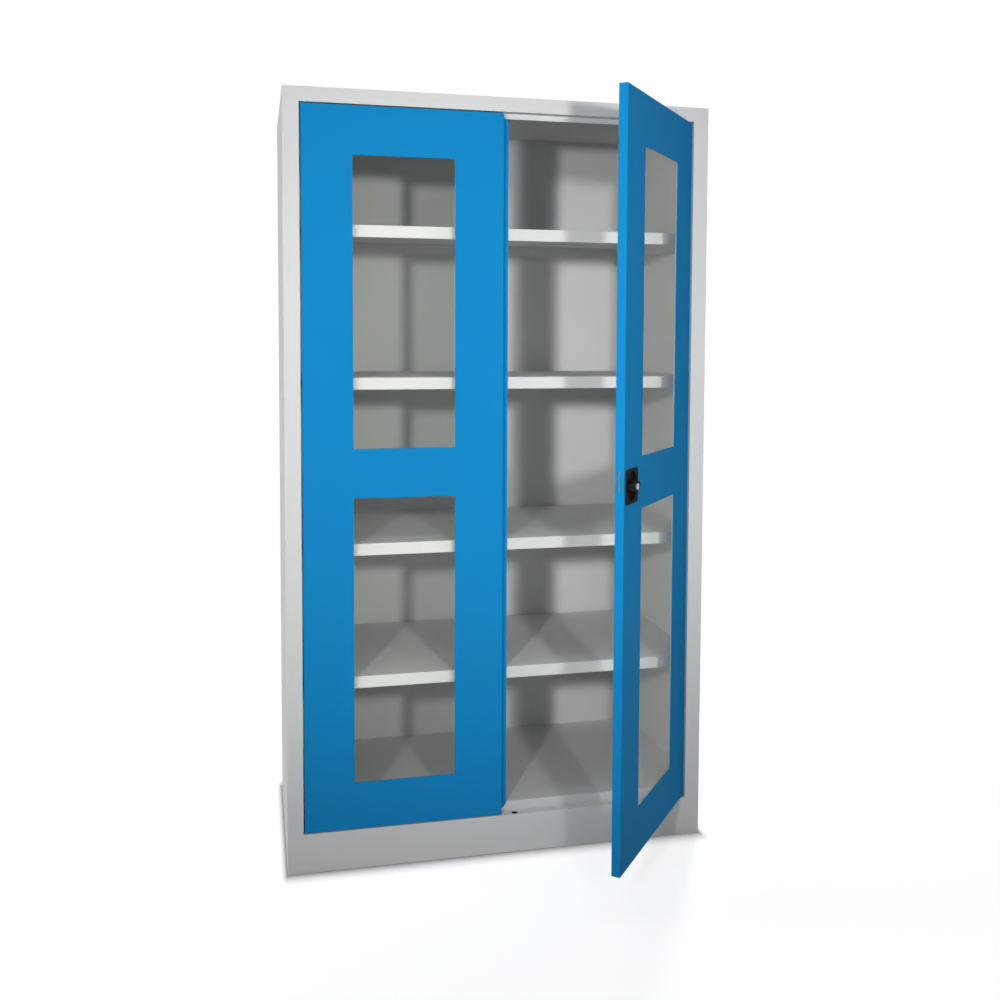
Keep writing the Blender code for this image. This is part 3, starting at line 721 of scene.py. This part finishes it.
# %% Dressed weld seams
SEAM_HALF, SEAM_PROUD, SEAM_DEEP = 3.2 * MM, 0.04 * MM, 0.9 * MM
SEAM_SINK, SEAM_ENDS = 0.1 * MM, 0.2 * MM
SEAM_POINTS, SEAM_FLATNESS = 9, 4
rail_low, rail_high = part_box("top_rail")
plinth_low, plinth_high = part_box("plinth")
DOOR_GAP = 3 * MM
rail_foot = leaf_high.z + DOOR_GAP
front = plinth_low.y


def seam(bm, x, low, high):
    drop = SEAM_PROUD + SEAM_SINK
    arch = [(x + off, front - SEAM_PROUD + drop * (off / SEAM_HALF) ** SEAM_FLATNESS)
            for off in spread(-SEAM_HALF, SEAM_HALF, SEAM_POINTS)]
    section = arch + [(x + SEAM_HALF, front + SEAM_DEEP), (x - SEAM_HALF, front + SEAM_DEEP)]
    foot = bm.faces.new([bm.verts.new((px, py, low)) for px, py in section])
    top = bmesh.ops.extrude_face_region(bm, geom=[foot])["geom"]
    far_points = [item for item in top if isinstance(item, bmesh.types.BMVert)]
    bmesh.ops.translate(bm, vec=(0, 0, high - low), verts=far_points)


bm = bmesh.new()
for x in (rail_low.x, rail_high.x):
    seam(bm, x, rail_foot, rail_high.z - SEAM_ENDS)
    seam(bm, x, plinth_low.z + SEAM_ENDS, plinth_high.z)
bmesh.ops.recalc_face_normals(bm, faces=bm.faces[:])
seams = bpy.data.objects.new("dressed_weld_seams", bpy.data.meshes.new("dressed_weld_seams"))
bm.to_mesh(seams.data)
bm.free()
soften(seams)
show_as(seams, grey_coat, "light_grey_paint", "carcass")
print("seams", len(seams.data.polygons), "faces")

# %% [markdown]
# The light is that of a plain studio, worked out from the shadows inside the cabinet. One lamp stands
# at the front left: its light comes through the left windows and past the shut door's edge. The
# other stands straight in front, and the open door's edge shades a strip of the back wall from it.
# Their soft cones fade towards the foot. A panel on the left lights that side, a lamp behind on the
# right lights the back, and a panel overhead gives the floor its shadow. Powers are given as the
# brightness on a white sheet at the aimed point, which can be judged by eye. The lamps are hidden
# from the camera and from rays through a pane, and the round ones from gloss too, since the panes
# would show them as hard white discs.

# %% Lamps
def lamp(name, kind, spot, aim, level, **settings):
    light = bpy.data.lights.new(name, kind)
    for key, value in settings.items():
        setattr(light, key, value)
    beam = Vector(aim) - Vector(spot)
    watts_per_level = 4 * math.pi ** 2 if kind == "SPOT" else math.pi ** 2
    light.energy = level * watts_per_level * beam.length ** 2
    holder = bpy.data.objects.new(name, light)
    holder.location = spot
    holder.rotation_euler = beam.to_track_quat("-Z", "Y").to_euler()
    holder.visible_camera = holder.visible_transmission = False
    holder.visible_glossy = kind == "AREA"
    bpy.context.scene.collection.objects.link(holder)
    print(name, round(light.energy, 1), "W")


CONE = {"spot_size": math.radians(56), "spot_blend": 1.0}
lamp("left_lamp", "SPOT", (-1.60, -2.97, 1.75), (-0.15, 0.0, 1.30), 0.39, shadow_soft_size=0.10, **CONE)
lamp("front_lamp", "SPOT", (0.20, -3.00, 1.65), (0.0, 0.0, 1.30), 0.475, shadow_soft_size=0.10, **CONE)
lamp("rear_lamp", "SPOT", (3.00, 4.60, 1.50), (0.1, 0.50, 1.05), 0.60, shadow_soft_size=0.40, **CONE)
lamp("side_panel_lamp", "AREA", (-4.00, 0.60, 1.40), (-0.55, 0.30, 1.30), 0.42, shape="SQUARE", size=1.6)
lamp("top_panel_lamp", "AREA", (0.0, 0.30, 4.20), (0.0, 0.26, 0.0), 0.22, shape="SQUARE", size=2.4)

# %% [markdown]
# The surround is a white world and a white floor. To the camera, and to what mirrors or passes its
# rays, both are plain white. To everything else the world is a soft even fill, so that it doesn't
# flood the cabinet with light. The Light Path node tells these rays apart.

# %% White surround
FILL_LEVEL = 0.17
WHITE = (1, 1, 1, 1)


def seen_directly(tree):
    """1 for rays from the camera, from a gloss or through a pane, and 0 for the rest."""
    path = tree.nodes.new("ShaderNodeLightPath")
    value = path.outputs["Is Camera Ray"]
    for other in ("Is Glossy Ray", "Is Transmission Ray"):
        larger = tree.nodes.new("ShaderNodeMath")
        larger.operation = "MAXIMUM"
        tree.links.new(value, larger.inputs[0])
        tree.links.new(path.outputs[other], larger.inputs[1])
        value = larger.outputs["Value"]
    return value


world = bpy.data.worlds.new("white_surround")
world.use_nodes = True
bpy.context.scene.world = world
tree = world.node_tree
fill, white = tree.nodes["Background"], tree.nodes.new("ShaderNodeBackground")
fill_in(fill, {"Color": WHITE, "Strength": FILL_LEVEL})
fill_in(white, {"Color": WHITE})
both = choose(tree, seen_directly(tree), fill.outputs["Background"], white.outputs["Background"])
tree.links.new(both, tree.nodes["World Output"].inputs["Surface"])
print("fill", FILL_LEVEL)

# %% [markdown]
# The floor is pale grey paint to the rays that light the cabinet. To the camera it glows white far
# out, but close to the cabinet a weaker glow is added to real shading, and that is what keeps the
# shadow. A Map Range node turns the distance from the middle into the fade from one to the other.

# %% Floor paint
FLOOR_SHADED, FLOOR_GLOW = 0.90, 0.61
FADE_NEAR, FADE_FAR = 0.8, 1.6


def glow(tree, level):
    light = tree.nodes.new("ShaderNodeEmission")
    fill_in(light, {"Strength": level})
    return light.outputs["Emission"]


paper = bpy.data.materials.new("studio_floor")
paper.use_nodes = True
tree = paper.node_tree
tree.nodes.remove(tree.nodes["Principled BSDF"])
matt = tree.nodes.new("ShaderNodeBsdfDiffuse")
fill_in(matt, {"Color": (FLOOR_SHADED, FLOOR_SHADED, FLOOR_SHADED, 1)})
near = tree.nodes.new("ShaderNodeAddShader")
tree.links.new(matt.outputs["BSDF"], near.inputs[0])
tree.links.new(glow(tree, FLOOR_GLOW), near.inputs[1])
position = tree.nodes.new("ShaderNodeNewGeometry").outputs["Position"]
away = tree.nodes.new("ShaderNodeVectorMath")
away.operation = "LENGTH"
tree.links.new(position, away.inputs[0])
fade = tree.nodes.new("ShaderNodeMapRange")
fade.interpolation_type = "SMOOTHSTEP"
fill_in(fade, {"From Min": FADE_NEAR, "From Max": FADE_FAR})
tree.links.new(away.outputs["Value"], fade.inputs["Value"])
print("floor glow", FLOOR_GLOW, "fading to white from", FADE_NEAR, "to", FADE_FAR, "m")

# %% [markdown]
# The glow would also fill the thin contact shadow where the plinth meets the floor. So that shadow is painted
# instead: a narrow band around the cabinet's footprint is mixed with a dimmer glow, by the distance from that
# rectangle.
# A chain of Vector Math nodes finds it: how far a point lies outside, on each axis, and the length
# of that. The distance counts more towards the sides, where the band is narrower, and the square
# of the closeness fades softly.

# %% Painted shadow at the foot
# Painted shadow: the dimmer glow darkens a band of floor round the plinth's foot.
CONTACT_REACH, PAINTED_SHADOW_GLOW, CONTACT_WEIGHTS = 70 * MM, 0.20, (3, 1, 1)
CONTACT_POWER = 2.0
body_low, body_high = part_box("left_side_panel")[0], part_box("right_side_panel")[1]
where = position
for operation, value in (("SUBTRACT", (body_low + body_high) / 2), ("ABSOLUTE", None),
                         ("SUBTRACT", (body_high - body_low) / 2), ("MAXIMUM", (0, 0, 0)),
                         ("MULTIPLY", CONTACT_WEIGHTS), ("LENGTH", None)):
    step = tree.nodes.new("ShaderNodeVectorMath")
    step.operation = operation
    tree.links.new(where, step.inputs[0])
    if value is not None:
        step.inputs[1].default_value = value
    where = step.outputs["Value" if operation == "LENGTH" else "Vector"]
closeness = tree.nodes.new("ShaderNodeMapRange")
fill_in(closeness, {"From Max": CONTACT_REACH, "To Min": 1.0, "To Max": 0.0})
tree.links.new(where, closeness.inputs["Value"])
painted_shadow = tree.nodes.new("ShaderNodeMath")
painted_shadow.operation = "POWER"
painted_shadow.inputs[1].default_value = CONTACT_POWER
tree.links.new(closeness.outputs["Result"], painted_shadow.inputs[0])

with_painted_shadow = choose(tree, painted_shadow.outputs["Value"], near.outputs["Shader"], glow(tree, PAINTED_SHADOW_GLOW))
shown = choose(tree, fade.outputs["Result"], with_painted_shadow, glow(tree, 1.0))
both = choose(tree, seen_directly(tree), matt.outputs["BSDF"], shown)
tree.links.new(both, tree.nodes["Material Output"].inputs["Surface"])
print("band", round(CONTACT_REACH / MM), "mm wide in front")

# %% [markdown]
# The floor itself is a flat disc, so wide that no view of the cabinet shows its rim.

# %% Floor
FLOOR_RADIUS, FLOOR_POINTS = 14.0, 96
bm = bmesh.new()
bmesh.ops.create_circle(bm, cap_ends=True, radius=FLOOR_RADIUS, segments=FLOOR_POINTS)
floor = bpy.data.objects.new("studio_floor", bpy.data.meshes.new("studio_floor"))
bm.to_mesh(floor.data)
bm.free()
floor.data.materials.append(paper)
bpy.context.scene.collection.objects.link(floor)
print("floor", FLOOR_RADIUS, "m")

# %% [markdown]
# The hole in the sill that takes a locking rod looks down into the hollow plinth. No light gets there, so the
# patch of floor under the cabinet is covered with a dark card that doesn't glow: painted shade standing in
# for the dark inside the plinth.

# %% Painted shade: dark card under the plinth
CARD_INSET, CARD_LIFT = 6 * MM, 0.2 * MM
# Painted shade: the card's near-black colour is the darkness inside the plinth, not a colour of the floor.
PLINTH_SHADE_BLACK = (0.02, 0.02, 0.02, 1)
shade_card_paint = bpy.data.materials.new("dark_card")
shade_card_paint.use_nodes = True
fill_in(shade_card_paint.node_tree.nodes["Principled BSDF"], {"Base Color": PLINTH_SHADE_BLACK, "Specular IOR Level": 0.0})
left_end, right_end = body_low.x + CARD_INSET, body_high.x - CARD_INSET
near_end, far_end = body_low.y + CARD_INSET, body_high.y - CARD_INSET
corners = [(left_end, near_end), (right_end, near_end), (right_end, far_end), (left_end, far_end)]
card = bpy.data.objects.new("dark_card", bpy.data.meshes.new("dark_card"))
card.data.from_pydata([(x, y, CARD_LIFT) for x, y in corners], [], [(0, 1, 2, 3)])
card.data.materials.append(shade_card_paint)
bpy.context.scene.collection.objects.link(card)
print("card", [round((far_end - near_end) / MM), round((right_end - left_end) / MM)], "mm")
